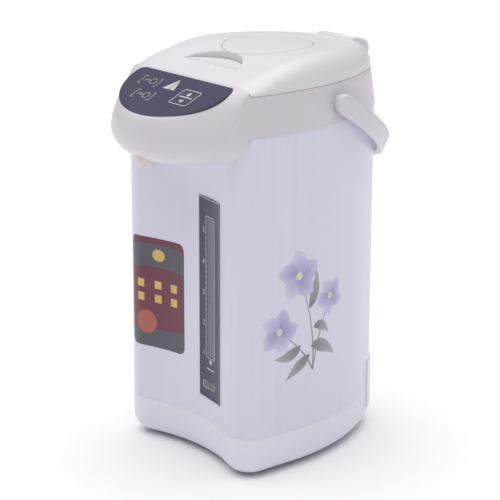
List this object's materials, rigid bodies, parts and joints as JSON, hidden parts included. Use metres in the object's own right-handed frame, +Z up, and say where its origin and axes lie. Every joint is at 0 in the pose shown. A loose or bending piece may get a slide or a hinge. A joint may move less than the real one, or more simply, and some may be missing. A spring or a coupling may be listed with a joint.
{
  "type": "hot water urn",
  "caption": "Free-standing electric airpot with a dished steel body, forward spout nose with sloping key panel, hinged pump lid, level window and swinging carry bail.",
  "frame": {"origin": "middle of the pot's footprint, on the table under the feet", "axes": "+Z up, -Y towards the spout and the user, +X to the user's right"},
  "size_m": [0.1972, 0.2955, 0.393],
  "materials": {
    "printed_steel": "satin printed coating",
    "white_plastic": "moulded, soft gloss",
    "dark_panel": "printed film",
    "dark_plastic": "moulded",
    "grey_plastic": "moulded",
    "beige_plastic": "moulded",
    "dark_rubber": "matte",
    "silicone": "translucent matte",
    "clear_window": "clear, smoked",
    "lens": "moulded, translucent",
    "stainless": "drawn and brushed",
    "screw_steel": "plated",
    "motor_steel": "rolled",
    "cast_aluminium": "cast",
    "mica": "wrapped",
    "circuit_board": "solder mask",
    "pin_brass": "turned"
  },
  "bodies": {
    "pot": {"outer_shell": "printed_steel", "base_moulding": "white_plastic", "bottom_plate": "grey_plastic", "rubber_feet": "dark_rubber", "bottom_screws": "screw_steel", "upper_housing": "white_plastic", "nose_underside": "white_plastic", "panel_frame": "dark_plastic", "panel_overlay": "dark_panel", "indicator_lenses": "lens", "control_board": "circuit_board", "level_strip": "dark_panel", "level_window": "clear_window", "level_tube": "clear_window", "vessel": "stainless", "vessel_seal": "silicone", "heater_plate": "cast_aluminium", "band_heater": "mica", "thermostats": "dark_plastic", "pump_housing": "grey_plastic", "pump_motor": "motor_steel", "suction_hose": "silicone", "delivery_hose": "silicone", "outlet_pipe": "silicone", "spout_nozzle": "beige_plastic", "inlet_socket": "beige_plastic", "socket_pins": "pin_brass", "power_board": "circuit_board", "hinge_pin": "screw_steel"},
    "lid": {"lid_shell": "white_plastic", "lid_inner_cover": "stainless", "lid_gasket": "silicone", "lid_screws": "screw_steel", "bellows": "silicone", "plate_spring": "screw_steel"},
    "press": {"press_plate": "white_plastic"},
    "latch": {"lid_latch": "white_plastic"},
    "bail": {"carry_handle": "white_plastic"},
    "key": {"dispense_key": "dark_panel"},
    "impeller": {"pump_impeller": "dark_plastic"}
  },
  "joints": [
    {"name": "lid_hinge", "type": "hinge", "parent": "pot", "child": "lid", "pos_m": [0, 0.11073, 0.3795], "axis": [-1, 0, 0], "range_deg": [0, 88]},
    {"name": "plate_press", "type": "slide", "parent": "lid", "child": "press", "axis": [0, 0, -1], "range_m": [0, 0.015], "stiffness_N_per_m": 700, "springref_m": -0.004, "deforming": ["bellows", "plate_spring"]},
    {"name": "latch_lift", "type": "hinge", "parent": "lid", "child": "latch", "pos_m": [0, -0.05469, 0.3802], "axis": [1, 0, 0], "range_deg": [0, 24], "stiffness_Nm_per_rad": 0.03, "springref_deg": -17.19},
    {"name": "bail_swing", "type": "hinge", "parent": "pot", "child": "bail", "pos_m": [0, 0.02773, 0.347], "axis": [1, 0, 0], "range_deg": [0, 122]},
    {"name": "key_press", "type": "slide", "parent": "pot", "child": "key", "axis": [0, 0.4226, -0.9063], "range_m": [0, 0.0008], "stiffness_N_per_m": 1200, "springref_m": -0.0006},
    {"name": "impeller_spin", "type": "hinge", "parent": "pot", "child": "impeller", "pos_m": [-0.02, -0.05327, 0.038], "axis": [0, 0, 1], "continuous": true}
  ]
}
